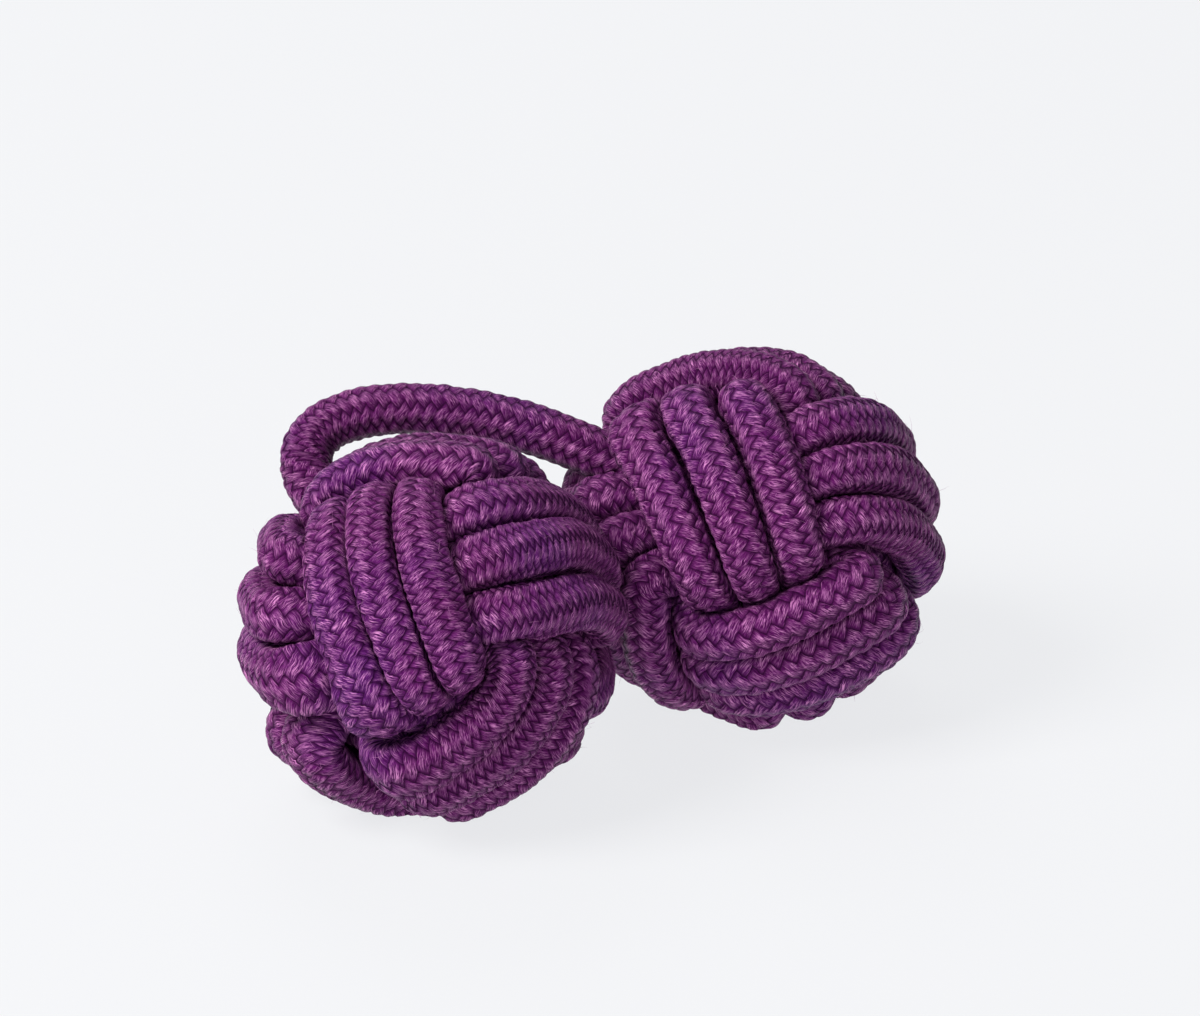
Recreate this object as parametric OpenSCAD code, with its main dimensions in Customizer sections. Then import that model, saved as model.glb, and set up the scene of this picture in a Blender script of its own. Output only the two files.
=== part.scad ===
// Silk knot cuff button: two ball knots of braided cord, joined by a short link cord.
// Each knot is a Turk's head of three leads and four bights, worked with three plies side by side,
// and each ply closes on itself. Lengths are mm, and angles are degrees.
// X runs to the right along the pair, Y to the back and Z up, with the table at Z = 0.

/* [Cord] */
// Distance between neighbouring cords where they lie on top, which sets the size of the whole knot
pitch = 1.9; // [1.5:0.1:2.3]
// Thickness of a cord on top, as a share of the pitch
top_fill = 0.82; // [0.6:0.02:0.82]
// Thickness of a cord where it is squeezed below the others, as a share of the pitch
under_fill = 0.56; // [0.4:0.02:0.58]

/* [Knot] */
// Radius of the top cords' centre lines, in pitches
top_radius = 3.05; // [3.05:0.05:3.2]
// Radius of the lower cords' centre lines, in pitches
under_radius = 2.1; // [2.06:0.01:2.12]
// How far a knot settles into the table, mm
settle = 0.5; // [0:0.05:0.6]

/* [Pair] */
// Clear distance between the two knots' round outlines, mm
knots_apart = 0.2; // [0.2:0.1:6]
// Direction from the near knot to the far knot, from the X axis
pair_turn = 33.7; // [20:1:50]

/* [Link] */
// Thickness of the link cord, mm
link_diameter = 1.8; // [1.4:0.1:2]
// Height of the link cord's bow over the knots' centres, mm
bow_height = 6; // [3:0.5:9]
// How far the bow leans back behind the knots, mm
bow_reach = 9; // [7:0.5:14]

/* [Hidden] */

cord_sides = 8;
steps_per_turn = 28;
step_crowding = 0.4;
link_sides = 10;
link_steps = 36;

// Shape of a ply's path. A ply crosses the equator twice a turn and needs four turns to close.
bight_latitude = 50;
bight_blunting = -1.8;
bight_slant = -2.2;
step_softness = 0.2;
under_closing = 0.72;
pole_closing = -0.093;
equator_closing = -0.12;
pole_rise = 0.16;
pole_shift = 0.03;

// Each knot's attitude on the table: its turns about X, then Y, then Z
near_attitude = [44.6, 68.5, 92];
far_attitude = [21.3, -57.1, -27.7];

// Where the link cord enters each knot: the direction from the knot's centre and the depth in pitches
near_exit = [-0.56, 0.75, 0.35];
far_exit = [-0.86, 0.04, 0.51];
near_seat = 3.38;
far_seat = 2.4;

knot_radius = (top_radius + top_fill / 2) * pitch;
// The knots stand on each side of the origin, which is on the table below the pair's middle.
pair_half = (knot_radius + knots_apart / 2) * [cos(pair_turn), sin(pair_turn), 0];
near_centre = [0, 0, knot_radius - settle] - pair_half;
far_centre = [0, 0, knot_radius - settle] + pair_half;

PLUM = [0.36, 0.16, 0.37];

// Vectors
function unit(v) = v / norm(v);
function about_x(p, a) = [p.x, p.y * cos(a) - p.z * sin(a), p.y * sin(a) + p.z * cos(a)];
function about_y(p, a) = [p.x * cos(a) + p.z * sin(a), p.y, p.z * cos(a) - p.x * sin(a)];
function about_z(p, a) = [p.x * cos(a) - p.y * sin(a), p.x * sin(a) + p.y * cos(a), p.z];
function turned(p, angles) = about_z(about_y(about_x(p, angles.x), angles.y), angles.z);
function on_table(p) = [p.x, p.y, max(p.z, 0)];

// The middle ply's direction from the knot's centre, at the angle s along its path
function middle_direction(s) =
    let (lat = bight_latitude * cos(s) + bight_blunting * cos(3 * s),
         lon = 0.75 * s + bight_slant * sin(2 * s))
    [cos(lat) * cos(lon), cos(lat) * sin(lon), sin(lat)];

// 1 where the ply lies on top, -1 where it lies below
function layer(s) =
    let (wave = sin(2 * s))
    -wave * sqrt((1 + step_softness * step_softness) / (wave * wave + step_softness * step_softness));

function between(low, high, s) = (low + high) / 2 + (high - low) / 2 * layer(s);

function near_pole(s) = pow(max(cos(2 * s), 0), 2);
function near_equator(s) = pow(max(-cos(2 * s), 0), 2);

// A ply's radius and its sideways distance from the middle ply, in pitches. lane is -1, 0 or 1.
function ply_radius(s, lane) =
    between(under_radius, top_radius, s)
    + near_pole(s) * (pole_rise + pole_shift * lane * sign(cos(s)));
function ply_offset(s, lane) =
    lane * between(under_closing, 1, s)
    * (1 + pole_closing * near_pole(s) + equator_closing * near_equator(s));

// A point of the ply's centre line
function ply_point(s, lane) =
    let (out = middle_direction(s),
         ahead = unit(middle_direction(s + 0.01) - middle_direction(s - 0.01)),
         aside = cross(out, ahead),
         radius = ply_radius(s, lane),
         swing = ply_offset(s, lane) / radius * 180 / PI)
    pitch * radius * (out * cos(swing) + aside * sin(swing));

// One ring of the ply's skin, with the ring's top away from the knot's centre
function ply_ring(s, lane) =
    let (p = ply_point(s, lane),
         ahead = unit(ply_point(s + 1, lane) - ply_point(s - 1, lane)),
         aside = unit(cross(ahead, p)),
         up = cross(aside, ahead),
         thick = pitch * between(under_fill, top_fill, s) / 2)
    [for (j = [0 : cord_sides - 1])
        p + thick * (aside * cos(360 * j / cord_sides) + up * sin(360 * j / cord_sides))];

// Triangles between rings a and b of a skin, whose points stand ring by ring
function band(a, b, sides) =
    [for (j = [0 : sides - 1])
        let (k = (j + 1) % sides)
        each [[a * sides + j, b * sides + j, b * sides + k],
              [a * sides + j, b * sides + k, a * sides + k]]];

// Rings stand closer together where a ply steps from one layer to the other
function ring_angle(i) =
    let (a = i * 360 / steps_per_turn)
    a - step_crowding / 4 * 180 / PI * sin(4 * a);

module knot_ply(lane, centre, attitude) {
    rings = 4 * steps_per_turn;
    points = [for (i = [0 : rings - 1])
        each [for (p = ply_ring(ring_angle(i), lane))
            on_table(centre + turned(p, attitude))]];
    faces = [for (i = [0 : rings - 1]) each band(i, (i + 1) % rings, cord_sides)];
    color(PLUM) polyhedron(points = points, faces = faces, convexity = 10);
}

// A cubic curve between two ends, with its two pulls
function curve(a, b, c, d, t) =
    pow(1 - t, 3) * a + 3 * t * pow(1 - t, 2) * b + 3 * t * t * (1 - t) * c + pow(t, 3) * d;

function link_point(t) =
    let (out_near = unit(near_exit),
         out_far = unit(far_exit),
         start = near_centre + near_seat * pitch * out_near,
         end = far_centre + far_seat * pitch * out_far)
    curve(start, start + bow_reach * 0.67 * out_near, end + bow_height * 1.33 * out_far, end, t);

module link_cord() {
    points = [for (i = [0 : link_steps])
        let (t = i / link_steps,
             p = link_point(t),
             ahead = unit(link_point(t + 0.001) - link_point(t - 0.001)),
             aside = unit(cross(ahead, [0.3, -1, 0])),
             up = cross(aside, ahead))
        each [for (j = [0 : link_sides - 1])
            p + link_diameter / 2 * (aside * cos(360 * j / link_sides) + up * sin(360 * j / link_sides))]];
    skin = [for (i = [0 : link_steps - 1]) each band(i, i + 1, link_sides)];
    start_cap = [for (j = [1 : link_sides - 2]) [0, j, j + 1]];
    last = link_steps * link_sides;
    end_cap = [for (j = [1 : link_sides - 2]) [last, last + j + 1, last + j]];
    color(PLUM) polyhedron(points = points, faces = concat(skin, start_cap, end_cap), convexity = 6);
}

module near_knot_ply_a() { knot_ply(1, near_centre, near_attitude); }
module near_knot_ply_b() { knot_ply(0, near_centre, near_attitude); }
module near_knot_ply_c() { knot_ply(-1, near_centre, near_attitude); }
module far_knot_ply_a() { knot_ply(1, far_centre, far_attitude); }
module far_knot_ply_b() { knot_ply(0, far_centre, far_attitude); }
module far_knot_ply_c() { knot_ply(-1, far_centre, far_attitude); }

near_knot_ply_a();
near_knot_ply_b();
near_knot_ply_c();
far_knot_ply_a();
far_knot_ply_b();
far_knot_ply_c();
link_cord();
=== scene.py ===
"""Silk knot cuff button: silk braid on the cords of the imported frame, with a table, lights and a camera."""

import math

import bpy
import numpy as np
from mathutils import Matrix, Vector


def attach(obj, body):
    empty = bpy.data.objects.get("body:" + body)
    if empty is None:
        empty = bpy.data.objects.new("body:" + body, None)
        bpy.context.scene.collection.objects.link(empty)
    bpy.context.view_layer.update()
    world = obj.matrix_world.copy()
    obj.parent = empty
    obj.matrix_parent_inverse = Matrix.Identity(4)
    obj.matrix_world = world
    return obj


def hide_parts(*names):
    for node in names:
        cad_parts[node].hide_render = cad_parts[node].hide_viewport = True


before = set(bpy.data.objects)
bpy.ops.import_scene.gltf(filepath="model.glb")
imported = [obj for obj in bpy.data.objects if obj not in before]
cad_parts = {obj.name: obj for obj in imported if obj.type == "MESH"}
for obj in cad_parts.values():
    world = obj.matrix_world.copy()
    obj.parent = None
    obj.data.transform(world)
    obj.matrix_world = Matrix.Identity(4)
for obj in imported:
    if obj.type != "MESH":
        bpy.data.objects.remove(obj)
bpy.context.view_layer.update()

bl_info = {
    "name": "Silk Knot Cuff Button",
    "version": (1, 0, 0),
    "blender": (4, 5, 0),
    "location": "3D View > Sidebar > Silk Knot",
    "description": "Braids the cords of a silk knot cuff button and sets its table, lights and camera",
    "category": "Object",
}

MM = 0.001
TINY = 1e-9
NUDGE = 1e-6  # keeps a yarn's place off a cell's edge, and two directions apart
ANGLE_STEP = 1e-4  # between two directions on a ply's path that give its slope
TURNS = 4  # turns round a knot before a ply closes
PLIES = {"a": 1, "b": 0, "c": -1}  # each ply's lane in a block of three
STEPS_ROUND = 6  # mesh steps across a yarn
STEPS_ALONG = 5  # and along a pick
TABLE_GAP = 0.01 * MM  # least height of a cord's skin over the table

# Seeds of the random draws, and the step from one ply of a knot to the next
SEEDS = {"near": 1.0, "far": 20.0, "link": 40.0}
PLY_SEED_STEP = 3.1

# Shape of a ply's path, as in the part's source
BIGHT_LATITUDE = math.radians(50)
BIGHT_BLUNTING = math.radians(-1.8)
BIGHT_SLANT = math.radians(-2.2)
STEP_SOFTNESS = 0.2
UNDER_CLOSING = 0.72
POLE_CLOSING = -0.093
EQUATOR_CLOSING = -0.12
POLE_RISE = 0.16
POLE_SHIFT = 0.03
OUTWARD_WANDER = 0.6  # straying outwards, as a share of straying sideways

# How far the worked places of the near knot reach from their middles, in radians
POLE_REACH = 0.8
BLOCK_REACH = 0.85
SIDE_REACH = 0.6
FAN_REACH = 0.5

# Steps of the centre lines, and how far out from them the braid is kept even
PATH_POINTS = 4000
LEAD_POINTS = 60
BOW_POINTS = 600
BOW_INSIDE = 20 * MM  # the bow's inner side faces a point this far before and below the pair
ROUTE_STEP = 0.08 * MM
OUTSIDE = 0.8 * MM
LEAST_OUTSIDE_STEP = 0.75  # as a share of the centre line's step

# The search for the room round a cord
ROOM_STRIDE = 3
ROOM_RAYS = 40
ROOM_REACH = 1.4  # in pitches
OWN_CORD = 0.3 * MM  # what is closer than this is the same place of the same cord
PRESSED = 0.96  # share of its room that a pressed cord fills
EDGE_SHARPNESS = 6  # of the edges between a cord's slack and pressed sides
MEAN_RISE = 0.75  # part of a yarn's height that lies inside the cord's plain outline

# Yarns of the braid
FLOAT_END = 0.12  # height at the ends of a float, as a share of its middle
YARN_ROUNDING = 0.28  # how much lower a yarn's edges are
PLUMPNESS = (0.75, 1.25)  # of the slimmest and the fullest float
LAY_WAVES = (2, 3, 5, 8, 11)  # waves round a closed cord, in which its braid is uneven
LAY_SHARING = 2.2  # by which the waves share the unevenness
LAY_TWIST = 0.9  # turn of the braid in a wave, in radians, divided by the wave's number

# Stray fibres
FIBRE_STEPS = 5
FIBRE_SPACING = 3
FIBRE_FLOOR = 0.4 * MM  # least height over the table of a fibre's root
FIBRE_DEPTH = 0.03 * MM  # how deep its root is sunk
FIBRE_RISE = (8, 60)  # angles at which a fibre leaves the cord, in degrees
FIBRE_LENGTH = (0.12, 0.5)  # in mm, before the power that favours short ones
FIBRE_SHORTENING = 1.2
FIBRE_CURL = 0.35
FIBRE_DROOP = 0.25
FIBRE_TAPER = 0.75
FACING_OUT = 0.35  # least cosine between a root's normal and the way out of the knot
OUTERMOST = 0.86  # least distance from the knot's centre, as a share of the farthest

# The silk's pattern
YARN_WANDER = 0.3  # how far a yarn wanders, in yarns
FILAMENT_STRENGTH = 0.9  # of the bump
FILAMENT_BEND = 0.3  # how far filaments swing across their yarn, in yarns
FILAMENT_HEIGHT = 1.3
YARN_HEIGHT = 1.5
TUFT_HEIGHT = 0.12
BLUE_PATCHES = 190.0  # bluer stretches to the metre
FIBRE_PATCHES = 900  # changes of a stray fibre's colour to the metre
SHEEN = 0.2
SHEEN_TINT = (1.0, 0.25, 0.85)

# Factor and shift of each mask of the silk; the LIT masks place its painted highlight, the others its bluer
# stretches and its painted shade
BLUE_MASK = (2.4, -1.15)
LIT_FILAMENTS = (6.4, -3.05)
LIT_TUFTS = (1.6, -0.1)
LIT_FLOATS = (0.45, 0.6)
# The next four place painted shade at a float's ends and between filaments, and set how dark it is painted
END_SHADE_MASK = (-1.9, 1.3)
GAP_SHADE_MASK = (-5.6, 2.75)
END_SHADE_DARKNESS = 0.93
GAP_SHADE_DARKNESS = 0.82
FILAMENT_ROUGHNESS = (0.2, 0.33)
DARK_ROUGHNESS = 0.35

# The stage
TABLE_SIDE = 6
SENSOR_WIDTH = 36  # of the camera, in mm
TABLE_COLOUR = (0.065, 0.065, 0.065)
TABLE_GLOW_COLOUR = (0.965, 0.975, 1.0)
TABLE_GLOW = 0.795
WORLD_COLOUR = (0.95, 0.975, 1.0)
WORLD_STRENGTH = 0.3
LIGHTS_AIM = (0, 0, 0.005)
LIGHTS = (
    # name, place, size in metres, power in watts, colour
    ("key_light", (-0.21, -0.1, 0.25), 0.17, 1.75, (1.0, 0.985, 0.98)),
    ("fill_light", (0.0, -0.3, 0.08), 0.22, 0.7, (0.95, 0.97, 1.0)),
    ("back_light", (-0.05, 0.22, 0.22), 0.14, 0.25, (0.97, 0.98, 1.0)),
)


class KnotSizes(bpy.types.PropertyGroup):
    """The path that each ply takes round a knot, as in the part's source"""

    pitch: bpy.props.FloatProperty(
        name="Cord pitch", description="Distance between neighbouring cords on top of a knot",
        default=1.9 * MM, unit="LENGTH", precision=5)
    top_radius: bpy.props.FloatProperty(
        name="Top radius", description="Radius of the top cords' centre lines, in pitches", default=3.05)
    under_radius: bpy.props.FloatProperty(
        name="Under radius", description="Radius of the lower cords' centre lines, in pitches", default=2.1)
    solid_fill: bpy.props.FloatProperty(
        name="Solid fill", description="Thickness of the solid model's top cords, as a share of the pitch",
        default=0.82)
    settle: bpy.props.FloatProperty(
        name="Settle", description="How far a knot settles into the table",
        default=0.5 * MM, unit="LENGTH", precision=5)
    knots_apart: bpy.props.FloatProperty(
        name="Knots apart", description="Clear distance between the round outlines of the two knots",
        default=0.2 * MM, unit="LENGTH", precision=5)
    pair_turn: bpy.props.FloatProperty(
        name="Pair turn", description="Direction from the near knot to the far knot",
        default=math.radians(33.7), subtype="ANGLE")
    near_attitude: bpy.props.FloatVectorProperty(
        name="Near attitude", description="The near knot's turns about X, then Y, then Z",
        default=(math.radians(44.6), math.radians(68.5), math.radians(92)), subtype="EULER")
    far_attitude: bpy.props.FloatVectorProperty(
        name="Far attitude", description="The far knot's turns about X, then Y, then Z",
        default=(math.radians(21.3), math.radians(-57.1), math.radians(-27.7)), subtype="EULER")
    pole_pull: bpy.props.FloatProperty(
        name="Pole pull", description="How far the cords round a pole are drawn in towards it, in pitches",
        default=0.26)
    pole_swell: bpy.props.FloatProperty(
        name="Pole swell", description="How much wider the innermost cords are at a pole", default=0.4)
    wander: bpy.props.FloatProperty(
        name="Wander", description="How far a cord strays sideways from its even place, in pitches",
        default=0.05)


class NearKnotSizes(bpy.types.PropertyGroup):
    """How the near knot was pulled tight, by directions from its centre"""

    pole_way: bpy.props.FloatVectorProperty(
        name="Pole direction", description="Direction of the foremost pole",
        default=(-0.57, -0.78, -0.26), subtype="DIRECTION")
    pole_goal: bpy.props.FloatVectorProperty(
        name="Pole goal", description="Direction that this pole is drawn aside to",
        default=(-0.305, -0.927, -0.215), subtype="DIRECTION")
    pole_widening: bpy.props.FloatProperty(
        name="Pole widening", description="How much wider the cords round this pole are", default=0.2)
    block_way: bpy.props.FloatVectorProperty(
        name="Block direction", description="Direction of the flat-lying block",
        default=(0.56, -0.61, 0.56), subtype="DIRECTION")
    block_twist: bpy.props.FloatProperty(
        name="Block twist", description="How far that block is turned on the knot",
        default=math.radians(14), subtype="ANGLE")
    block_spread: bpy.props.FloatProperty(
        name="Block spread", description="How much wider that block's cords lie", default=0.18)
    block_crowding: bpy.props.FloatProperty(
        name="Block crowding", description="How much tighter the braid is pushed together on that block",
        default=0.35)
    side_way: bpy.props.FloatVectorProperty(
        name="Side direction", description="Direction of the right side",
        default=(0.97, -0.14, 0.175), subtype="DIRECTION")
    side_goal: bpy.props.FloatVectorProperty(
        name="Side goal", description="Direction that this side is drawn up to",
        default=(0.97, -0.055, 0.33), subtype="DIRECTION")
    fan_way: bpy.props.FloatVectorProperty(
        name="Fan direction", description="Direction of the cords that fan out below",
        default=(0.66, -0.74, -0.12), subtype="DIRECTION")
    fan_slimming: bpy.props.FloatProperty(
        name="Fan slimming", description="How much narrower those cords are, so that gaps open between them",
        default=0.3, max=0.9)


class LinkSizes(bpy.types.PropertyGroup):
    """The link cord and its path, as in the part's source apart from its tucked end"""

    diameter: bpy.props.FloatProperty(
        name="Diameter", description="Thickness of the link cord",
        default=1.8 * MM, unit="LENGTH", precision=5)
    near_exit: bpy.props.FloatVectorProperty(
        name="Near exit", description="Direction from the near knot's centre in which the cord leaves it",
        default=(-0.56, 0.75, 0.35), subtype="DIRECTION")
    far_exit: bpy.props.FloatVectorProperty(
        name="Far exit", description="Direction from the far knot's centre in which the cord leaves it",
        default=(-0.86, 0.04, 0.51), subtype="DIRECTION")
    near_seat: bpy.props.FloatProperty(
        name="Near seat", description="Distance from the near knot's centre to the bow's end, in pitches",
        default=3.38)
    far_seat: bpy.props.FloatProperty(
        name="Far seat", description="Distance from the far knot's centre to the bow's end, in pitches",
        default=2.4)
    near_pull: bpy.props.FloatProperty(
        name="Near pull", description="How far the bow runs on in its direction at the near knot",
        default=6.03 * MM, unit="LENGTH", precision=5)
    far_pull: bpy.props.FloatProperty(
        name="Far pull", description="How far the bow runs on in its direction at the far knot",
        default=7.98 * MM, unit="LENGTH", precision=5)
    tuck_way: bpy.props.FloatVectorProperty(
        name="Tuck direction", description="Where the near knot's plies leave most room for the cord's end",
        default=(-0.479, 0.813, 0.331), subtype="DIRECTION")
    tuck_seat: bpy.props.FloatProperty(
        name="Tuck seat", description="Distance from the near knot's centre to the tucked end, in pitches",
        default=2.3)
    tuck_pull: bpy.props.FloatProperty(
        name="Tuck pull", description="How far the tucked end runs straight at each of its ends",
        default=0.7 * MM, unit="LENGTH", precision=5)


class BraidSizes(bpy.types.PropertyGroup):
    """The silk braid on each cord"""

    half_width: bpy.props.FloatProperty(
        name="Half width", description="Half of a slack cord's width, in pitches", default=0.54)
    half_height: bpy.props.FloatProperty(
        name="Half height", description="Half of a slack cord's height, in pitches", default=0.5)
    yarns: bpy.props.IntProperty(
        name="Yarns", description="Yarns that wind each way round a cord", default=8)
    pick: bpy.props.FloatProperty(
        name="Pick", description="Distance along a cord from one yarn to the next", default=0.5 * MM,
        unit="LENGTH", precision=5)
    relief: bpy.props.FloatProperty(
        name="Relief", description="Height of the yarns where they pass over others", default=0.115 * MM,
        unit="LENGTH", precision=5)
    unevenness: bpy.props.FloatProperty(
        name="Unevenness", description="How far the braid is stretched here and pushed together there",
        default=0.22, min=0, max=0.4)
    filaments: bpy.props.FloatProperty(
        name="Filaments", description="Filaments across a yarn", default=14.0)
    filament_relief: bpy.props.FloatProperty(
        name="Filament relief", description="Height of the filaments and of the finest wear",
        default=0.075 * MM, unit="LENGTH", precision=6)
    fibres: bpy.props.IntProperty(
        name="Loose fibres", description="Stray fibres that stand off each knot", default=700, min=1)
    fibre_thickness: bpy.props.FloatProperty(
        name="Fibre thickness", description="Thickness of a stray fibre", default=0.013 * MM, unit="LENGTH",
        precision=6)


class SilkColours(bpy.types.PropertyGroup):
    """Colours of the silk"""

    body: bpy.props.FloatVectorProperty(
        name="Body", description="Main colour of the silk", default=(0.086, 0.0052, 0.082), subtype="COLOR")
    # Painted highlight: the colour painted on the filaments along the top of a float, and on stray fibres at
    # random
    lit: bpy.props.FloatVectorProperty(
        name="Lit", description="Colour of the filaments on top of a float", default=(0.68, 0.27, 0.555),
        subtype="COLOR")
    # Painted shade: the colour painted in the hollows between filaments and at a float's ends
    painted_shade: bpy.props.FloatVectorProperty(
        name="Painted_Shade", description="Colour between the floats", default=(0.006, 0.0001, 0.009),
        subtype="COLOR")
    violet: bpy.props.FloatVectorProperty(
        name="Violet", description="Colour of the bluer stretches", default=(0.058, 0.005, 0.11),
        subtype="COLOR")


class StageSizes(bpy.types.PropertyGroup):
    """Camera and lights"""

    elevation: bpy.props.FloatProperty(
        name="Elevation", description="Camera's height over the horizon", default=math.radians(25),
        subtype="ANGLE")
    distance: bpy.props.FloatProperty(
        name="Distance", description="Distance from the camera to the pair", default=0.35, unit="LENGTH")
    frame_width: bpy.props.FloatProperty(
        name="Frame width", description="Width of the view at the pair",
        default=42.2 * MM, unit="LENGTH", precision=5)
    aim_side: bpy.props.FloatProperty(
        name="Aim sideways", description="How far to the right of the origin the camera aims",
        default=0.3 * MM, unit="LENGTH", precision=5)
    aim_up: bpy.props.FloatProperty(
        name="Aim upwards", description="How far above the origin in the view the camera aims",
        default=8.09 * MM, unit="LENGTH", precision=5)
    light: bpy.props.FloatProperty(
        name="Light", description="Strength of all the lights", default=1.0, min=0)


# Path of a ply

def unit(v):
    return v / np.linalg.norm(v, axis=-1, keepdims=True)


def middle_direction(s):
    """The middle ply's direction from the knot's centre, at the angles s along its path"""
    lat = BIGHT_LATITUDE * np.cos(s) + BIGHT_BLUNTING * np.cos(3 * s)
    lon = 0.75 * s + BIGHT_SLANT * np.sin(2 * s)
    return np.stack([np.cos(lat) * np.cos(lon), np.cos(lat) * np.sin(lon), np.sin(lat)], axis=-1)


def layer(s):
    """1 where a ply lies on top, and -1 where it lies below"""
    wave = np.sin(2 * s)
    return -wave * np.sqrt((1 + STEP_SOFTNESS ** 2) / (wave ** 2 + STEP_SOFTNESS ** 2))


def between(low, high, on_top):
    return (low + high) / 2 + (high - low) / 2 * on_top


def straying(s, seed):
    """A smooth wave without a clear period, which closes with the ply"""
    out = np.zeros_like(s)
    for n, share in ((3, 0.5), (5, 0.4), (7, 0.35), (10, 0.3)):
        out += share * np.sin(n * s / TURNS + 2.4 * seed + n * 1.7 * (seed + 1))
    return out


def pole_side(s, lane):
    """1 where a ply passes closest to a pole of the knot, and 0 away from the poles"""
    return np.clip(np.cos(2 * s), 0, None) ** 1.5 * (1 + lane * np.sign(np.cos(s))) / 2


def ply_points(s, lane, seed, sizes):
    """A ply's centre line round the origin, at the angles s along its path"""
    on_top = layer(s)
    half = np.sign(np.cos(s))
    pole = np.clip(np.cos(2 * s), 0, None) ** 2
    equator = np.clip(-np.cos(2 * s), 0, None) ** 2
    radius = between(sizes.under_radius, sizes.top_radius, on_top)
    radius = radius + pole * (POLE_RISE + POLE_SHIFT * lane * half)
    radius = radius + OUTWARD_WANDER * sizes.wander * straying(s + 1.3, seed + 4)
    offset = lane * between(UNDER_CLOSING, 1, on_top) * (1 + POLE_CLOSING * pole + EQUATOR_CLOSING * equator)
    offset = offset + sizes.pole_pull * half * pole_side(s, lane)
    offset = offset + sizes.wander * straying(s, seed)
    out = middle_direction(s)
    ahead = unit(middle_direction(s + ANGLE_STEP) - middle_direction(s - ANGLE_STEP))
    aside = np.cross(out, ahead)
    swing = (offset / radius)[:, None]
    return sizes.pitch * radius[:, None] * (out * np.cos(swing) + aside * np.sin(swing))


# Working of the near knot, whose points lie round the origin

def angle_from(points, way):
    return np.arccos(np.clip(unit(points) @ unit(np.array(way)), -1, 1))


def nearness(points, way, reach):
    """1 for points in the direction given, falling to 0 away from it"""
    return np.exp(-(angle_from(points, way) / reach) ** 2)


def turned_about(points, axis, angle):
    """Points turned about an axis through the origin, each by its own angle"""
    level = (points @ axis)[:, None] * axis
    return points * np.cos(angle) + np.cross(axis, points) * np.sin(angle) + level * (1 - np.cos(angle))


def drawn_aside(points, share, way, goal):
    """Points drawn from one direction towards another, each by its share"""
    start = unit(np.array(way))
    end = unit(np.array(goal))
    return turned_about(points, unit(np.cross(start, end)), (math.acos(start @ end) * share)[:, None])


def turned_block(points, share, way, twist, spread):
    """Points turned about one direction and spread away from it, each by its share"""
    axis = unit(np.array(way))
    reach = np.linalg.norm(points, axis=1, keepdims=True)
    out = points / reach
    away = angle_from(points, way)[:, None]
    share = share[:, None]
    side = turned_about(unit(out - np.cos(away) * axis + TINY), axis, twist * share)
    away = away * (1 + spread * share)
    return reach * (axis * np.cos(away) + side * np.sin(away))


def pulled_tight(points, swell, near_knot):
    """A ply of the near knot drawn to its place, with its swell and the crowding of its braid"""
    share = nearness(points, near_knot.pole_way, POLE_REACH)
    points = drawn_aside(points, share, near_knot.pole_way, near_knot.pole_goal)
    swell = swell * (1 + near_knot.pole_widening * share)
    share = nearness(points, near_knot.block_way, BLOCK_REACH)
    points = turned_block(points, share, near_knot.block_way, near_knot.block_twist, near_knot.block_spread)
    swell = swell * (1 + near_knot.block_spread * share)
    crowding = 1 + near_knot.block_crowding * share
    share = nearness(points, near_knot.side_way, SIDE_REACH)
    points = drawn_aside(points, share, near_knot.side_way, near_knot.side_goal)
    swell = swell * (1 - near_knot.fan_slimming * nearness(points, near_knot.fan_way, FAN_REACH))
    return points, swell, crowding


# Routes of the cords

def turn_matrix(angles):
    cx, cy, cz = (math.cos(a) for a in angles)
    sx, sy, sz = (math.sin(a) for a in angles)
    about_x = np.array([[1, 0, 0], [0, cx, -sx], [0, sx, cx]])
    about_y = np.array([[cy, 0, sy], [0, 1, 0], [-sy, 0, cy]])
    about_z = np.array([[cz, -sz, 0], [sz, cz, 0], [0, 0, 1]])
    return about_z @ about_y @ about_x


def knot_places(sizes):
    """Each knot's centre, and how it is turned"""
    radius = (sizes.top_radius + sizes.solid_fill / 2) * sizes.pitch
    toward = np.array([math.cos(sizes.pair_turn), math.sin(sizes.pair_turn), 0])
    half = (radius + sizes.knots_apart / 2) * toward
    up = np.array([0, 0, radius - sizes.settle])
    return {
        "near": (up - half, turn_matrix(sizes.near_attitude)),
        "far": (up + half, turn_matrix(sizes.far_attitude)),
    }


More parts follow.
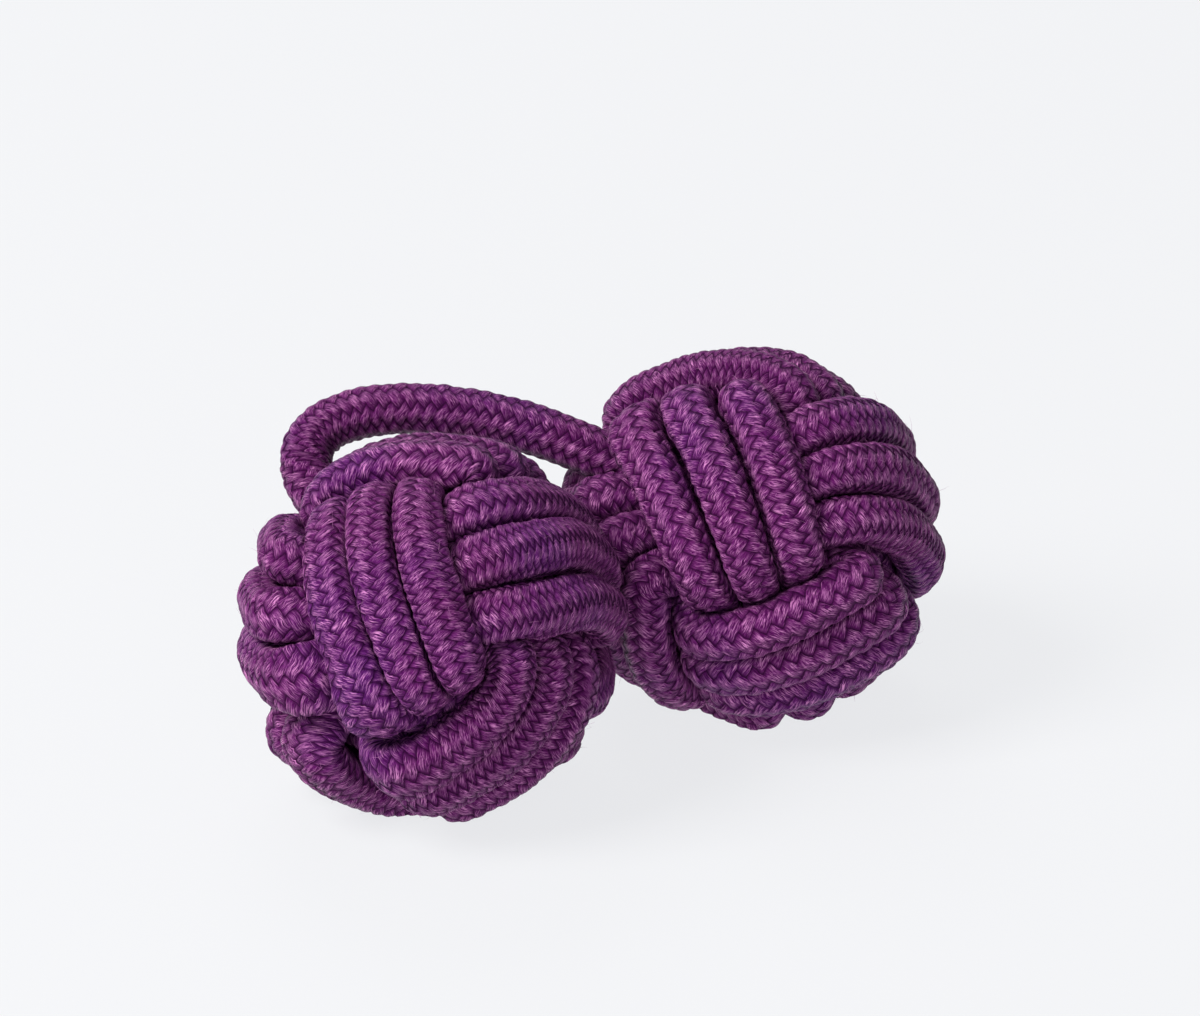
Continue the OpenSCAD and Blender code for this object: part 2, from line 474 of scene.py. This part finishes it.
class Route:
    """A cord's centre line at even steps of its length, with its sideways and outward directions"""

    def __init__(self, points, centre, closed, swell=None, crowding=None):
        self.closed = closed
        steps = np.linalg.norm(np.roll(points, -1, axis=0) - points, axis=1)
        if not closed:
            steps = steps[:-1]
        along = np.concatenate([[0], np.cumsum(steps)])
        self.length = along[-1]
        ring = np.vstack([points, points[:1]]) if closed else points
        count = int(self.length / ROUTE_STEP)
        even = np.linspace(0, self.length, count, endpoint=not closed)
        self.points = np.stack([np.interp(even, along, ring[:, i]) for i in range(3)], axis=1)
        if closed:
            ahead = unit(np.roll(self.points, -1, axis=0) - np.roll(self.points, 1, axis=0))
        else:
            ahead = unit(np.gradient(self.points, axis=0))
        self.swell = self.spread_along(even, along, swell)
        out = unit(self.points - centre)
        self.aside = unit(np.cross(ahead, out))
        self.up = np.cross(self.aside, ahead)
        # The braid is even along the outside of the cord, where it shows
        outside = self.points + OUTSIDE * self.up
        steps = np.linalg.norm(np.roll(outside, -1, axis=0) - outside, axis=1)
        inside = np.linalg.norm(np.roll(self.points, -1, axis=0) - self.points, axis=1)
        steps = np.maximum(steps, LEAST_OUTSIDE_STEP * inside) * self.spread_along(even, along, crowding)
        if not closed:
            steps = steps[:-1]
        self.marks = np.concatenate([[0], np.cumsum(steps)])
        self.outer_length = self.marks[-1]
        self.places = np.append(even, self.length) if closed else even
        self.room = None

    def spread_along(self, even, along, values):
        """values of a closed ply at even steps, or 1 where none are given"""
        if values is None:
            return np.ones(len(even))
        return np.interp(even, along, np.append(values, values[0]))

    def at(self, values, length):
        """values, one for each even step, at the lengths given"""
        n = len(values)
        if self.closed:
            x = (length / self.length) % 1.0 * n
            low = np.floor(x).astype(int) % n
            high = (low + 1) % n
        else:
            x = np.clip(length / self.length, 0, 1) * (n - 1)
            low = np.minimum(np.floor(x).astype(int), n - 2)
            high = low + 1
        part = x - np.floor(x)
        part = part.reshape(part.shape + (1,) * (values.ndim - 1))
        return values[low] * (1 - part) + values[high] * part

    def room_towards(self, length, theta):
        """Room round the cord at the lengths given, in the directions theta"""
        rows = self.at(self.room, length)
        n = rows.shape[1]
        x = theta / (2 * math.pi) * n
        low = np.floor(x).astype(int) % n
        part = x - np.floor(x)
        each = np.arange(len(theta))
        return rows[each, low] * (1 - part) + rows[each, (low + 1) % n] * part


def curve(a, b, c, d, count):
    """A cubic curve between two ends, with its two pulls"""
    t = np.linspace(0, 1, count)[:, None]
    return (1 - t) ** 3 * a + 3 * t * (1 - t) ** 2 * b + 3 * t * t * (1 - t) * c + t ** 3 * d


def link_route(knots, link):
    """The link cord's route: its tucked end, and then its bow"""
    near, far = (centre for centre, _ in knot_places(knots).values())
    near_exit = unit(np.array(link.near_exit))
    far_exit = unit(np.array(link.far_exit))
    tuck_way = unit(np.array(link.tuck_way))
    start = near + link.near_seat * knots.pitch * near_exit
    end = far + link.far_seat * knots.pitch * far_exit
    tuck = near + link.tuck_seat * knots.pitch * tuck_way
    pull = link.tuck_pull
    lead = curve(tuck, tuck + pull * tuck_way, start - pull * near_exit, start, LEAD_POINTS)
    bow = curve(start, start + link.near_pull * near_exit, end + link.far_pull * far_exit, end, BOW_POINTS)
    inside = (near + far) / 2 - np.array([0, BOW_INSIDE, BOW_INSIDE])
    return Route(np.vstack([lead[:-1], bow]), inside, False)


def make_routes(scene):
    """The route of each cord by its node's name, with the room round it"""
    knots = scene.knot_sizes
    routes = {}
    s = np.linspace(0, 2 * math.pi * TURNS, PATH_POINTS, endpoint=False)
    for knot, (centre, turn) in knot_places(knots).items():
        for ply, lane in PLIES.items():
            points = ply_points(s, lane, len(routes), knots) @ turn.T
            swell = 1 + knots.pole_swell * pole_side(s, lane) ** 2
            crowding = None
            if knot == "near":
                points, swell, crowding = pulled_tight(points, swell, scene.near_knot_sizes)
            routes[knot + "_knot_ply_" + ply] = Route(points + centre, centre, True, swell, crowding)
    routes["link_cord"] = link_route(knots, scene.link_sizes)
    find_room(routes, ROOM_REACH * knots.pitch)
    return routes


def find_room(routes, reach):
    """How far each cord can swell in each direction before it meets another, which flattens both"""
    every = np.vstack([route.points[::ROOM_STRIDE] for route in routes.values()])
    angles = np.linspace(0, 2 * math.pi, ROOM_RAYS, endpoint=False)
    cos = np.cos(angles)[:, None]
    sin = np.sin(angles)[:, None]
    for route in routes.values():
        rooms = []
        for i in range(0, len(route.points), ROOM_STRIDE):
            away = every - route.points[i]
            far = np.einsum("ij,ij->i", away, away)
            close = (far < (2 * reach) ** 2) & (far > OWN_CORD ** 2)
            away = away[close]
            far = far[close]
            rays = cos * route.aside[i] + sin * route.up[i]
            facing = rays @ away.T
            facing[facing < TINY] = TINY
            rooms.append((far / (2 * facing)).min(axis=1))
        route.room = np.array(rooms)


# Braided tubes

def read_points(mesh):
    flat = np.empty(len(mesh.vertices) * 3)
    mesh.vertices.foreach_get("co", flat)
    return flat.reshape(-1, 3)


def write_points(mesh, points):
    mesh.vertices.foreach_set("co", points.ravel())
    mesh.update()


def give_material(obj, material):
    obj.data.materials.clear()
    obj.data.materials.append(material)


def only(obj):
    bpy.ops.object.select_all(action="DESELECT")
    obj.select_set(True)
    bpy.context.view_layer.objects.active = obj


def straight_braid(name, picks, around):
    """An open tube of the given picks, one unit long each, that stands on the origin"""
    bpy.ops.object.select_all(action="DESELECT")
    bpy.ops.mesh.primitive_circle_add(vertices=around, radius=1, fill_type="NOTHING", location=(0, 0, 0))
    tube = bpy.context.object
    tube.name = name
    tube.data.name = name
    bpy.ops.object.mode_set(mode="EDIT")
    bpy.ops.mesh.select_all(action="SELECT")
    for _ in range(STEPS_ALONG):
        bpy.ops.mesh.extrude_region_move(TRANSFORM_OT_translate={"value": (0, 0, 1 / STEPS_ALONG)})
    bpy.ops.object.mode_set(mode="OBJECT")
    row = tube.modifiers.new("picks", "ARRAY")
    row.count = picks
    row.use_relative_offset = False
    row.use_constant_offset = True
    row.constant_offset_displace = (0, 0, 1)
    row.use_merge_vertices = True
    row.merge_threshold = 0.01
    bpy.ops.object.modifier_apply(modifier=row.name)
    return tube


def yarn_relief(u, v, chance):
    """Height of the braid, from 0 to about 1: each yarn passes over two others and then under two"""
    i = v + u + NUDGE
    j = v - u + NUDGE
    cell_i = np.floor(i).astype(int)
    cell_j = np.floor(j).astype(int)
    step = (cell_i - cell_j) % 4
    leans_left = step < 2
    across = np.where(leans_left, i - cell_i, j - cell_j)
    along = np.where(leans_left, j - cell_j + 1 - step, i - cell_i + step - 2) / 2
    yarn = np.where(leans_left, cell_i, cell_j + 3)
    turn = np.where(leans_left, cell_j - 1 + step, cell_i - step + 2)
    # A table of primes by primes, so that it doesn't repeat in step with the braid
    plumpness = chance.uniform(*PLUMPNESS, (97, 89))
    plump = plumpness[yarn % 97, turn % 89]
    arch = 1 - np.abs(2 * along - 1) ** 2.3
    crown = 1 - YARN_ROUNDING * np.abs(2 * across - 1) ** 3
    return (FLOAT_END + (1 - FLOAT_END) * arch) * crown * plump


def braid_marks(mesh, yarns):
    """Each point's place in a straight braid: yarns round the cord, and picks along it"""
    points = read_points(mesh)
    angle = np.arctan2(points[:, 1], points[:, 0]) % (2 * math.pi)
    u = np.round(angle / (2 * math.pi) * yarns * STEPS_ROUND) / STEPS_ROUND % yarns
    v = np.round(points[:, 2] * STEPS_ALONG) / STEPS_ALONG
    return u, v


def write_braid_map(mesh, u, v, yarns):
    """The UV map of yarns and picks. Faces at the seam run on past the last yarn."""
    loops = np.empty(len(mesh.loops), dtype=int)
    mesh.loops.foreach_get("vertex_index", loops)
    corner = u[loops].reshape(-1, 4)
    wraps = (corner.max(axis=1) - corner.min(axis=1)) > yarns / 2
    corner[wraps] = np.where(corner[wraps] < yarns / 2, corner[wraps] + yarns, corner[wraps])
    uv_map = mesh.uv_layers[0] if mesh.uv_layers else mesh.uv_layers.new(name="braid")
    uv_map.name = "braid"
    uv_map.data.foreach_set("uv", np.stack([corner.ravel(), v[loops]], axis=1).ravel())


def uneven_lay(way, unevenness, chance):
    """How far the braid of a closed cord is stretched and twisted along its way"""
    stretch = np.zeros_like(way)
    twist = np.zeros_like(way)
    for n in LAY_WAVES:
        stretch += unevenness / LAY_SHARING / n * np.sin(n * way + chance.uniform(0, 6.28))
        twist += LAY_TWIST / n * np.sin(n * way + chance.uniform(0, 6.28))
    return stretch, twist


def lay_braid(tube, route, picks, half_sides, braid, seed):
    """Moves a straight braid's points on to its route, and gives it its yarns and its UV map"""
    u, v = braid_marks(tube.data, braid.yarns)
    write_braid_map(tube.data, u, v, braid.yarns)
    chance = np.random.default_rng(int(seed * 10))
    rise = yarn_relief(u, v % picks, chance)

    way = v / picks * 2 * math.pi
    stretch, twist = uneven_lay(way, braid.unevenness, chance) if route.closed else (0, 0)
    outer = (way + stretch) / (2 * math.pi) * route.outer_length
    turns = np.floor(outer / route.outer_length) if route.closed else 0
    length = np.interp(outer - turns * route.outer_length, route.marks, route.places) + turns * route.length
    # The seam is on the underside
    theta = u / braid.yarns * 2 * math.pi + twist - math.pi / 2

    width, height = half_sides
    width = width * route.at(route.swell, length)
    slack = ((np.cos(theta) / width) ** 2 + (np.sin(theta) / height) ** 2) ** -0.5
    pressed = PRESSED * route.room_towards(length, theta)
    radius = (slack ** -EDGE_SHARPNESS + pressed ** -EDGE_SHARPNESS) ** (-1 / EDGE_SHARPNESS)
    radius = radius + (rise - MEAN_RISE) * braid.relief

    aside = np.cos(theta)[:, None] * route.at(route.aside, length)
    up = np.sin(theta)[:, None] * route.at(route.up, length)
    place = route.at(route.points, length) + radius[:, None] * (aside + up)
    place[:, 2] = np.maximum(place[:, 2], TABLE_GAP)
    write_points(tube.data, place)


def close_up(tube, closed):
    """Joins a closed braid's ends, or caps an open one, and smooths it"""
    only(tube)
    bpy.ops.object.mode_set(mode="EDIT")
    bpy.ops.mesh.select_all(action="SELECT")
    bpy.ops.mesh.remove_doubles(threshold=1e-7)
    if not closed:
        bpy.ops.mesh.select_all(action="DESELECT")
        bpy.ops.mesh.select_mode(type="EDGE")
        bpy.ops.mesh.select_non_manifold()
        bpy.ops.mesh.edge_face_add()
        bpy.ops.mesh.select_mode(type="VERT")
    bpy.ops.mesh.select_all(action="SELECT")
    bpy.ops.mesh.normals_make_consistent(inside=False)
    bpy.ops.object.mode_set(mode="OBJECT")
    bpy.ops.object.shade_smooth()


def braided_cord(node, route, half_sides, scene, seed):
    braid = scene.braid_sizes
    picks = int(round(route.outer_length / braid.pick))
    tube = straight_braid(node + "_braid", picks, braid.yarns * STEPS_ROUND)
    lay_braid(tube, route, picks, half_sides, braid, seed)
    close_up(tube, route.closed)
    give_material(tube, silk_material(node + "_silk", seed, scene))
    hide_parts(node)
    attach(tube, "root")
    return tube


# Stray fibres

def straight_fibres(name, count):
    """Three-sided prisms, one unit long, that stand in a row along Z"""
    bpy.ops.object.select_all(action="DESELECT")
    bpy.ops.mesh.primitive_circle_add(vertices=3, radius=1, fill_type="NGON", location=(0, 0, 0))
    fibres = bpy.context.object
    fibres.name = name
    fibres.data.name = name
    bpy.ops.object.mode_set(mode="EDIT")
    bpy.ops.mesh.select_all(action="SELECT")
    for _ in range(FIBRE_STEPS):
        bpy.ops.mesh.extrude_region_move(TRANSFORM_OT_translate={"value": (0, 0, 1 / FIBRE_STEPS)})
    bpy.ops.mesh.select_all(action="SELECT")
    bpy.ops.mesh.normals_make_consistent(inside=False)
    bpy.ops.object.mode_set(mode="OBJECT")
    row = fibres.modifiers.new("fibres", "ARRAY")
    row.count = count
    row.use_relative_offset = False
    row.use_constant_offset = True
    row.constant_offset_displace = (0, 0, FIBRE_SPACING)
    bpy.ops.object.modifier_apply(modifier=row.name)
    return fibres


def open_points(cords, centre):
    """Points on the outside of a knot that face outwards, clear of the table, with their normals"""
    places = []
    normals = []
    for cord in cords:
        normal = np.empty(len(cord.data.vertices) * 3)
        cord.data.vertices.foreach_get("normal", normal)
        places.append(read_points(cord.data))
        normals.append(normal.reshape(-1, 3))
    places = np.vstack(places)
    normals = np.vstack(normals)
    outward = places - centre
    far = np.linalg.norm(outward, axis=1)
    faces_out = np.einsum("ij,ij->i", outward, normals) > FACING_OUT * far
    free = (far > OUTERMOST * far.max()) & faces_out & (places[:, 2] > FIBRE_FLOOR)
    return places[free], normals[free]


def loose_fibres(name, cords, centre, count, thickness, seed):
    """Short stray fibres that stand off the outside of the cords"""
    fibres = straight_fibres(name, count)
    points = read_points(fibres.data)
    each = np.floor(points[:, 2] / FIBRE_SPACING + 0.01).astype(int)
    way = points[:, 2] - FIBRE_SPACING * each

    places, normals = open_points(cords, centre)
    chance = np.random.default_rng(seed)
    picked = chance.choice(len(places), count, replace=False)
    root = places[picked]
    normal = normals[picked]
    along = unit(np.cross(normal, chance.normal(size=(count, 3))))
    rise = np.radians(chance.uniform(*FIBRE_RISE, count))[:, None]
    start = along * np.cos(rise) + normal * np.sin(rise)
    curl = chance.normal(size=(count, 3)) * FIBRE_CURL - normal * FIBRE_DROOP
    length = (MM * chance.uniform(*FIBRE_LENGTH, count) ** FIBRE_SHORTENING)[:, None]

    side = unit(np.cross(start, normal + NUDGE))
    top = np.cross(side, start)
    step = way[:, None]
    sunk_root = root - FIBRE_DEPTH * normal
    spine = sunk_root[each] + length[each] * (step * start[each] + step ** 2 * curl[each])
    slim = thickness / 2 * (1 - FIBRE_TAPER * way)[:, None]
    place = spine + slim * (points[:, :1] * side[each] + points[:, 1:2] * top[each])
    place[:, 2] = np.maximum(place[:, 2], 2 * TABLE_GAP)
    write_points(fibres.data, place)
    only(fibres)
    bpy.ops.object.shade_smooth()
    return fibres


# Materials

class Writer:
    """Adds nodes to a shader tree, and links them"""

    def __init__(self, tree):
        self.nodes = tree.nodes
        self.links = tree.links

    def put(self, value, socket):
        if isinstance(value, (int, float)):
            socket.default_value = value
        else:
            self.links.new(value, socket)

    def fill(self, node, values, sockets=(0, 1, 2)):
        for value, socket in zip(values, sockets):
            self.put(value, node.inputs[socket])
        return node

    def calc(self, operation, *values, clamp=False):
        node = self.nodes.new("ShaderNodeMath")
        node.operation = operation
        node.use_clamp = clamp
        return self.fill(node, values).outputs[0]

    def scaled(self, value, factor, added, clamp=False):
        return self.calc("MULTIPLY_ADD", value, factor, added, clamp=clamp)

    def choose(self, factor, a, b):
        node = self.nodes.new("ShaderNodeMix")
        return self.fill(node, (factor, a, b), (0, 2, 3)).outputs[0]

    def mix_colour(self, factor, a, b):
        node = self.nodes.new("ShaderNodeMix")
        node.data_type = "RGBA"
        return self.fill(node, (factor, a, b), (0, 6, 7)).outputs[2]

    def vector(self, *values):
        return self.fill(self.nodes.new("ShaderNodeCombineXYZ"), values).outputs[0]

    def noise(self, place, scale, detail, rough=0.5):
        node = self.nodes.new("ShaderNodeTexNoise")
        node.inputs["Scale"].default_value = scale
        node.inputs["Detail"].default_value = detail
        node.inputs["Roughness"].default_value = rough
        self.put(place, node.inputs["Vector"])
        return node.outputs["Fac"]

    def rounded(self, value, power, fall):
        """1 in the middle of a value that runs from 0 to 1, and lower by fall at its ends"""
        from_middle = self.calc("ABSOLUTE", self.scaled(value, 2.0, -1.0))
        return self.scaled(self.calc("POWER", from_middle, power), -fall, 1.0)


def braid_lattice(w):
    """Whether the yarn on top leans right, its place and the crossing one's, and its float's half"""
    uv = w.nodes.new("ShaderNodeUVMap")
    uv.uv_map = "braid"
    split = w.nodes.new("ShaderNodeSeparateXYZ")
    w.put(uv.outputs[0], split.inputs[0])
    round_it, along_it = split.outputs[0], split.outputs[1]
    i = w.scaled(w.noise(uv.outputs[0], 1.7, 1.0), YARN_WANDER, w.calc("ADD", along_it, round_it))
    j = w.scaled(w.noise(uv.outputs[0], 1.3, 1.0), YARN_WANDER, w.calc("SUBTRACT", along_it, round_it))
    i = w.calc("SUBTRACT", i, YARN_WANDER / 2)
    j = w.calc("SUBTRACT", j, YARN_WANDER / 2)
    step = w.calc("FLOORED_MODULO", w.calc("SUBTRACT", w.calc("FLOOR", i), w.calc("FLOOR", j)), 4.0)
    right = w.calc("GREATER_THAN", step, 1.5)
    own = w.choose(right, i, j)
    other = w.choose(right, j, i)
    half = w.choose(right, w.calc("SUBTRACT", 1.0, step), w.calc("SUBTRACT", step, 2.0))
    return right, own, other, half


def silk_braid_group():
    """Colour with its painted highlights and painted shade, roughness and height of braided silk, from the UV
    map of yarns and picks
    """
    group = bpy.data.node_groups.new("silk_braid", "ShaderNodeTree")
    for name, kind, value in (
        ("Body", "NodeSocketColor", (0.08, 0.01, 0.08, 1)),
        ("Lit", "NodeSocketColor", (0.2, 0.05, 0.2, 1)),
        ("Painted_Shade", "NodeSocketColor", (0.01, 0.001, 0.01, 1)),
        ("Violet", "NodeSocketColor", (0.04, 0.01, 0.1, 1)),
        ("Filaments", "NodeSocketFloat", 14.0),
        ("Seed", "NodeSocketFloat", 0.0),
    ):
        socket = group.interface.new_socket(name=name, in_out="INPUT", socket_type=kind)
        socket.default_value = value
    for name, kind in (("Color", "Color"), ("Roughness", "Float"), ("Height", "Float")):
        group.interface.new_socket(name=name, in_out="OUTPUT", socket_type="NodeSocket" + kind)
    w = Writer(group)
    given = w.nodes.new("NodeGroupInput").outputs
    result = w.nodes.new("NodeGroupOutput").inputs
    seed = given["Seed"]

    right, own, other, half = braid_lattice(w)
    across = w.calc("FRACT", own)
    along = w.calc("MULTIPLY", w.calc("ADD", w.calc("FRACT", other), half), 0.5)

    # Random strength of each float's painted highlight
    chance = w.nodes.new("ShaderNodeTexWhiteNoise")
    yarn = w.calc("ADD", w.calc("FLOOR", own), w.calc("MULTIPLY", right, 31.0))
    turn = w.calc("SUBTRACT", w.calc("FLOOR", other), half)
    w.put(w.vector(yarn, turn, seed), chance.inputs["Vector"])
    shade = chance.outputs["Value"]

    # Filaments along each yarn, a little bent, and the tufts that they gather in
    bend = w.noise(w.vector(w.calc("MULTIPLY", own, 1.2), w.calc("MULTIPLY", other, 0.9), seed), 1.0, 1.0)
    lane = w.scaled(w.calc("SUBTRACT", bend, 0.5), FILAMENT_BEND, w.scaled(right, 53.0, own))
    wide = w.calc("MULTIPLY", lane, given["Filaments"])
    fine = w.noise(w.vector(wide, w.calc("MULTIPLY", other, 1.3), seed), 1.0, 2.0, 0.75)
    tuft = w.noise(w.vector(w.calc("MULTIPLY", lane, 2.6), w.calc("MULTIPLY", other, 1.2), seed), 1.0, 1.0)

    # Rounded yarn that dives at the ends of its float
    crown = w.calc("MULTIPLY", w.rounded(across, 4.0, 0.25), w.rounded(along, 2.5, 0.85))
    height = w.scaled(fine, FILAMENT_HEIGHT, w.calc("MULTIPLY", crown, YARN_HEIGHT))
    w.put(w.scaled(tuft, TUFT_HEIGHT, height), result["Height"])

    # Bluer stretches, a painted highlight on the filaments on top of a float, and painted shade between
    # filaments and at a float's ends
    coords = w.nodes.new("ShaderNodeTexCoord")
    patch = w.noise(coords.outputs["Object"], BLUE_PATCHES, 2.0)
    base = w.mix_colour(w.scaled(patch, *BLUE_MASK, clamp=True), given["Body"], given["Violet"])
    # Painted highlight on the filaments, strongest on the crown of a float and varied by tuft and by float
    glow = w.scaled(fine, *LIT_FILAMENTS, clamp=True)
    glow = w.calc("MULTIPLY", glow, w.scaled(tuft, *LIT_TUFTS, clamp=True))
    glow = w.calc("MULTIPLY", glow, w.scaled(shade, *LIT_FLOATS))
    glow = w.calc("MULTIPLY", glow, w.calc("POWER", crown, 2.0), clamp=True)
    bright = w.mix_colour(glow, base, given["Lit"])
    # Painted shade at a float's ends, where its yarn dives, and in the gaps between filaments, mixed towards
    # the shade colour; it also makes those places rougher
    end_shade = w.calc("MULTIPLY", w.scaled(crown, *END_SHADE_MASK, clamp=True), END_SHADE_DARKNESS)
    gap_shade = w.calc("MULTIPLY", w.scaled(fine, *GAP_SHADE_MASK, clamp=True), GAP_SHADE_DARKNESS)
    shade_mask = w.calc("MAXIMUM", end_shade, gap_shade)
    w.put(w.mix_colour(shade_mask, bright, given["Painted_Shade"]), result["Color"])
    rough = w.scaled(fine, *FILAMENT_ROUGHNESS)
    w.put(w.scaled(shade_mask, DARK_ROUGHNESS, rough, clamp=True), result["Roughness"])
    return group


def new_material(name):
    material = bpy.data.materials.new(name)
    material.use_nodes = True
    return material, Writer(material.node_tree), material.node_tree.nodes["Principled BSDF"].inputs


def silk_material(name, seed, scene):
    material, w, shader = new_material(name)
    silk = w.nodes.new("ShaderNodeGroup")
    silk.node_tree = bpy.data.node_groups.get("silk_braid") or silk_braid_group()
    for colour in ("body", "lit", "painted_shade", "violet"):
        silk.inputs[colour.title()].default_value = (*getattr(scene.silk_colours, colour), 1)
    silk.inputs["Filaments"].default_value = scene.braid_sizes.filaments
    silk.inputs["Seed"].default_value = seed
    bump = w.nodes.new("ShaderNodeBump")
    bump.inputs["Strength"].default_value = FILAMENT_STRENGTH
    bump.inputs["Distance"].default_value = scene.braid_sizes.filament_relief
    w.put(silk.outputs["Height"], bump.inputs["Height"])
    w.put(silk.outputs["Color"], shader["Base Color"])
    w.put(silk.outputs["Roughness"], shader["Roughness"])
    w.put(bump.outputs[0], shader["Normal"])
    shader["Specular IOR Level"].default_value = SHEEN
    shader["Specular Tint"].default_value = (*SHEEN_TINT, 1)
    return material


def fibre_material(name, colours):
    material, w, shader = new_material(name)
    coords = w.nodes.new("ShaderNodeTexCoord")
    chance = w.nodes.new("ShaderNodeTexNoise")
    chance.inputs["Scale"].default_value = FIBRE_PATCHES
    w.put(coords.outputs["Object"], chance.inputs["Vector"])
    # Painted highlight: each stray fibre runs at random between the body colour and the painted highlight
    # colour, as glints
    shade = w.nodes.new("ShaderNodeMix")
    shade.data_type = "RGBA"
    shade.inputs[6].default_value = (*colours.body, 1)
    shade.inputs[7].default_value = (*colours.lit, 1)
    w.put(chance.outputs["Fac"], shade.inputs[0])
    w.put(shade.outputs[2], shader["Base Color"])
    shader["Roughness"].default_value = 0.4
    return material


def table_material():
    """Pale, with a faint glow of its own, which keeps the shadows weak"""
    material, _, shader = new_material("pale_table")
    shader["Base Color"].default_value = (*TABLE_COLOUR, 1)
    shader["Roughness"].default_value = 0.9
    shader["Emission Color"].default_value = (*TABLE_GLOW_COLOUR, 1)
    shader["Emission Strength"].default_value = TABLE_GLOW
    return material


# Operators

def make_knot(scene, knot):
    """Braids a knot's three plies, and gives it its stray fibres"""
    sizes = scene.knot_sizes
    braid = scene.braid_sizes
    seed = SEEDS[knot]
    routes = make_routes(scene)
    half_sides = (braid.half_width * sizes.pitch, braid.half_height * sizes.pitch)
    cords = []
    for number, ply in enumerate(PLIES):
        node = knot + "_knot_ply_" + ply
        cords.append(braided_cord(node, routes[node], half_sides, scene, seed + PLY_SEED_STEP * number))
    centre = knot_places(sizes)[knot][0]
    fuzz = loose_fibres(knot + "_knot_fuzz", cords, centre, braid.fibres, braid.fibre_thickness, int(seed))
    give_material(fuzz, fibre_material(knot + "_knot_fuzz_silk", scene.silk_colours))
    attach(fuzz, "root")


class SILKKNOT_OT_near_knot(bpy.types.Operator):
    """Braid the three plies of the near knot"""

    bl_idname = "silkknot.near_knot"
    bl_label = "Near Knot"

    def execute(self, context):
        make_knot(context.scene, "near")
        return {"FINISHED"}


class SILKKNOT_OT_far_knot(bpy.types.Operator):
    """Braid the three plies of the far knot"""

    bl_idname = "silkknot.far_knot"
    bl_label = "Far Knot"

    def execute(self, context):
        make_knot(context.scene, "far")
        return {"FINISHED"}


class SILKKNOT_OT_link_cord(bpy.types.Operator):
    """Braid the link cord between the knots"""

    bl_idname = "silkknot.link_cord"
    bl_label = "Link Cord"

    def execute(self, context):
        scene = context.scene
        half = scene.link_sizes.diameter / 2
        braided_cord("link_cord", make_routes(scene)["link_cord"], (half, half), scene, SEEDS["link"])
        return {"FINISHED"}


def area_light(name, place, size, power, colour):
    bpy.ops.object.light_add(type="AREA", location=place)
    light = bpy.context.object
    light.name = name
    light.data.size = size
    light.data.energy = power
    light.data.color = colour
    light.rotation_euler = (Vector(place) - Vector(LIGHTS_AIM)).to_track_quat("Z", "Y").to_euler()


class SILKKNOT_OT_stage(bpy.types.Operator):
    """Set the table, the lights and the camera"""

    bl_idname = "silkknot.stage"
    bl_label = "Table, Lights and Camera"

    def execute(self, context):
        stage = context.scene.stage_sizes
        bpy.ops.object.select_all(action="DESELECT")
        bpy.ops.mesh.primitive_plane_add(size=TABLE_SIDE, location=(0, 0, 0))
        table = bpy.context.object
        table.name = "table_top"
        table.data.materials.append(table_material())

        world = bpy.data.worlds.new("studio")
        world.use_nodes = True
        background = world.node_tree.nodes["Background"]
        background.inputs["Color"].default_value = (*WORLD_COLOUR, 1)
        background.inputs["Strength"].default_value = WORLD_STRENGTH * stage.light
        context.scene.world = world
        context.scene.view_settings.view_transform = "Standard"
        for name, place, size, power, colour in LIGHTS:
            area_light(name, place, size, power * stage.light, colour)

        tilt = stage.elevation
        toward = Vector((0, -math.cos(tilt), math.sin(tilt)))
        upward = Vector((0, math.sin(tilt), math.cos(tilt)))
        aim = Vector((stage.aim_side, 0, 0)) + upward * stage.aim_up
        place = aim + toward * stage.distance
        bpy.ops.object.camera_add(location=place, rotation=(math.pi / 2 - tilt, 0, 0))
        camera = bpy.context.object
        camera.name = "photo_camera"
        camera.data.sensor_width = SENSOR_WIDTH
        camera.data.lens = SENSOR_WIDTH * stage.distance / stage.frame_width
        camera.data.clip_start = 0.01
        camera.data.clip_end = 20
        context.scene.camera = camera
        return {"FINISHED"}


class SILKKNOT_PT_panel(bpy.types.Panel):
    """Sizes, colours and makers of the silk knot cuff button"""

    bl_idname = "SILKKNOT_PT_panel"
    bl_label = "Silk Knot"
    bl_space_type = "VIEW_3D"
    bl_region_type = "UI"
    bl_category = "Silk Knot"

    def draw(self, context):
        for setting in SETTINGS:
            group = getattr(context.scene, setting)
            box = self.layout.box()
            for name in group.__annotations__:
                box.prop(group, name)
        for maker in MAKERS:
            self.layout.operator(maker.bl_idname)


SETTINGS = {
    "knot_sizes": KnotSizes,
    "near_knot_sizes": NearKnotSizes,
    "link_sizes": LinkSizes,
    "braid_sizes": BraidSizes,
    "silk_colours": SilkColours,
    "stage_sizes": StageSizes,
}
MAKERS = (SILKKNOT_OT_near_knot, SILKKNOT_OT_far_knot, SILKKNOT_OT_link_cord, SILKKNOT_OT_stage)
CLASSES = (*SETTINGS.values(), *MAKERS, SILKKNOT_PT_panel)


def register():
    for cls in CLASSES:
        bpy.utils.register_class(cls)
    for name, cls in SETTINGS.items():
        setattr(bpy.types.Scene, name, bpy.props.PointerProperty(type=cls))


def unregister():
    for name in SETTINGS:
        delattr(bpy.types.Scene, name)
    for cls in reversed(CLASSES):
        bpy.utils.unregister_class(cls)


def main():
    register()
    bpy.ops.silkknot.near_knot()
    bpy.ops.silkknot.far_knot()
    bpy.ops.silkknot.link_cord()
    bpy.ops.silkknot.stage()


if __name__ == "__main__":
    main()
